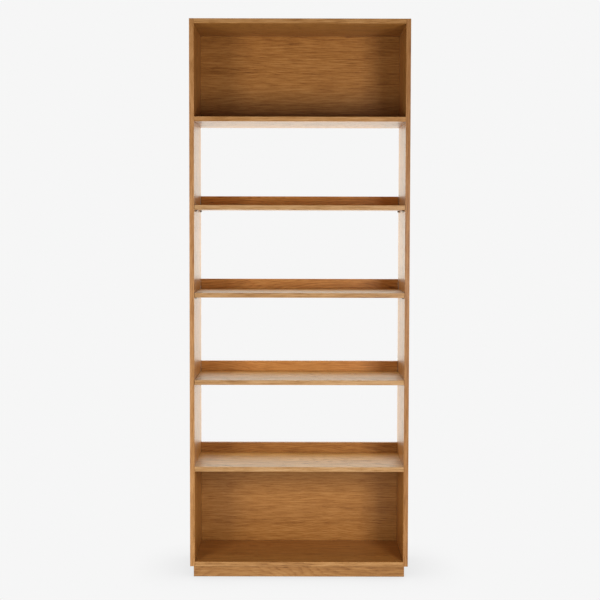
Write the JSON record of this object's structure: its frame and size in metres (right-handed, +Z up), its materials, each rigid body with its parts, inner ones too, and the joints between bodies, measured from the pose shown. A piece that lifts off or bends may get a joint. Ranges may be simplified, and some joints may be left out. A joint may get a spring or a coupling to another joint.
{
  "type": "bookcase",
  "caption": "Tall open oak-veneer bookcase: fixed top, bottom and two structural shelves, loose shelves on steel pins, low rear rails, and back panels only at head and foot.",
  "frame": {"origin": "on the floor under the middle of the case", "axes": "+Z up, +X to the right, the open front faces -Y"},
  "size_m": [0.838, 0.33, 2.134],
  "materials": {
    "side_veneer": "satin lacquered oak veneer",
    "board_veneer": "satin lacquered oak veneer",
    "back_veneer": "satin lacquered oak veneer",
    "rail_oak": "satin lacquered oak veneer",
    "plinth_oak": "satin lacquered oak veneer",
    "block_wood": "bare sawn pine",
    "dowel_beech": "bare beech",
    "cam_zinc": "die-cast zinc",
    "fitting_steel": "zinc-plated steel",
    "screw_steel": "yellow-passivated steel",
    "pin_steel": "nickel-plated steel"
  },
  "bodies": {
    "case": {"left_side_panel": "side_veneer", "right_side_panel": "side_veneer", "bottom_panel": "board_veneer", "lower_fixed_shelf": "board_veneer", "upper_fixed_shelf": "board_veneer", "top_panel": "board_veneer", "upper_back_panel": "back_veneer", "lower_back_panel": "back_veneer", "lower_fixed_shelf_rail": "rail_oak", "plinth_front_board": "plinth_oak", "plinth_rear_board": "plinth_oak", "plinth_left_board": "plinth_oak", "plinth_right_board": "plinth_oak", "plinth_corner_blocks": "block_wood", "bottom_panel_dowels": "dowel_beech", "lower_fixed_shelf_dowels": "dowel_beech", "upper_fixed_shelf_dowels": "dowel_beech", "top_panel_dowels": "dowel_beech", "bottom_panel_cam_locks": "cam_zinc", "lower_fixed_shelf_cam_locks": "cam_zinc", "upper_fixed_shelf_cam_locks": "cam_zinc", "top_panel_cam_locks": "cam_zinc", "bottom_panel_cam_bolts": "fitting_steel", "lower_fixed_shelf_cam_bolts": "fitting_steel", "upper_fixed_shelf_cam_bolts": "fitting_steel", "top_panel_cam_bolts": "fitting_steel", "lower_fixed_shelf_rail_screws": "screw_steel", "plinth_screws": "screw_steel", "lower_back_panel_screws": "screw_steel", "upper_back_panel_screws": "screw_steel"},
    "lower_adjustable_shelf": {"lower_adjustable_shelf": "board_veneer", "lower_adjustable_shelf_rail": "rail_oak", "lower_adjustable_shelf_rail_screws": "screw_steel"},
    "middle_adjustable_shelf": {"middle_adjustable_shelf": "board_veneer", "middle_adjustable_shelf_rail": "rail_oak", "middle_adjustable_shelf_rail_screws": "screw_steel"},
    "upper_adjustable_shelf": {"upper_adjustable_shelf": "board_veneer", "upper_adjustable_shelf_rail": "rail_oak", "upper_adjustable_shelf_rail_screws": "screw_steel"},
    "lower_shelf_pin_left_front": {"lower_shelf_pin_left_front": "pin_steel"},
    "lower_shelf_pin_left_rear": {"lower_shelf_pin_left_rear": "pin_steel"},
    "lower_shelf_pin_right_front": {"lower_shelf_pin_right_front": "pin_steel"},
    "lower_shelf_pin_right_rear": {"lower_shelf_pin_right_rear": "pin_steel"},
    "middle_shelf_pin_left_front": {"middle_shelf_pin_left_front": "pin_steel"},
    "middle_shelf_pin_left_rear": {"middle_shelf_pin_left_rear": "pin_steel"},
    "middle_shelf_pin_right_front": {"middle_shelf_pin_right_front": "pin_steel"},
    "middle_shelf_pin_right_rear": {"middle_shelf_pin_right_rear": "pin_steel"},
    "upper_shelf_pin_left_front": {"upper_shelf_pin_left_front": "pin_steel"},
    "upper_shelf_pin_left_rear": {"upper_shelf_pin_left_rear": "pin_steel"},
    "upper_shelf_pin_right_front": {"upper_shelf_pin_right_front": "pin_steel"},
    "upper_shelf_pin_right_rear": {"upper_shelf_pin_right_rear": "pin_steel"}
  },
  "joints": [
    {"name": "lower_adjustable_shelf_lift", "type": "slide", "parent": "case", "child": "lower_adjustable_shelf", "axis": [0, 0, 1], "range_m": [0, 0.27]},
    {"name": "middle_adjustable_shelf_lift", "type": "slide", "parent": "case", "child": "middle_adjustable_shelf", "axis": [0, 0, 1], "range_m": [0, 0.27]},
    {"name": "upper_adjustable_shelf_lift", "type": "slide", "parent": "case", "child": "upper_adjustable_shelf", "axis": [0, 0, 1], "range_m": [0, 0.27]},
    {"name": "lower_shelf_pin_left_front_pull", "type": "slide", "parent": "case", "child": "lower_shelf_pin_left_front", "axis": [1, 0, 0], "range_m": [0, 0.011]},
    {"name": "lower_shelf_pin_left_rear_pull", "type": "slide", "parent": "case", "child": "lower_shelf_pin_left_rear", "axis": [1, 0, 0], "range_m": [0, 0.011]},
    {"name": "lower_shelf_pin_right_front_pull", "type": "slide", "parent": "case", "child": "lower_shelf_pin_right_front", "axis": [-1, 0, 0], "range_m": [0, 0.011]},
    {"name": "lower_shelf_pin_right_rear_pull", "type": "slide", "parent": "case", "child": "lower_shelf_pin_right_rear", "axis": [-1, 0, 0], "range_m": [0, 0.011]},
    {"name": "middle_shelf_pin_left_front_pull", "type": "slide", "parent": "case", "child": "middle_shelf_pin_left_front", "axis": [1, 0, 0], "range_m": [0, 0.011]},
    {"name": "middle_shelf_pin_left_rear_pull", "type": "slide", "parent": "case", "child": "middle_shelf_pin_left_rear", "axis": [1, 0, 0], "range_m": [0, 0.011]},
    {"name": "middle_shelf_pin_right_front_pull", "type": "slide", "parent": "case", "child": "middle_shelf_pin_right_front", "axis": [-1, 0, 0], "range_m": [0, 0.011]},
    {"name": "middle_shelf_pin_right_rear_pull", "type": "slide", "parent": "case", "child": "middle_shelf_pin_right_rear", "axis": [-1, 0, 0], "range_m": [0, 0.011]},
    {"name": "upper_shelf_pin_left_front_pull", "type": "slide", "parent": "case", "child": "upper_shelf_pin_left_front", "axis": [1, 0, 0], "range_m": [0, 0.011]},
    {"name": "upper_shelf_pin_left_rear_pull", "type": "slide", "parent": "case", "child": "upper_shelf_pin_left_rear", "axis": [1, 0, 0], "range_m": [0, 0.011]},
    {"name": "upper_shelf_pin_right_front_pull", "type": "slide", "parent": "case", "child": "upper_shelf_pin_right_front", "axis": [-1, 0, 0], "range_m": [0, 0.011]},
    {"name": "upper_shelf_pin_right_rear_pull", "type": "slide", "parent": "case", "child": "upper_shelf_pin_right_rear", "axis": [-1, 0, 0], "range_m": [0, 0.011]}
  ]
}
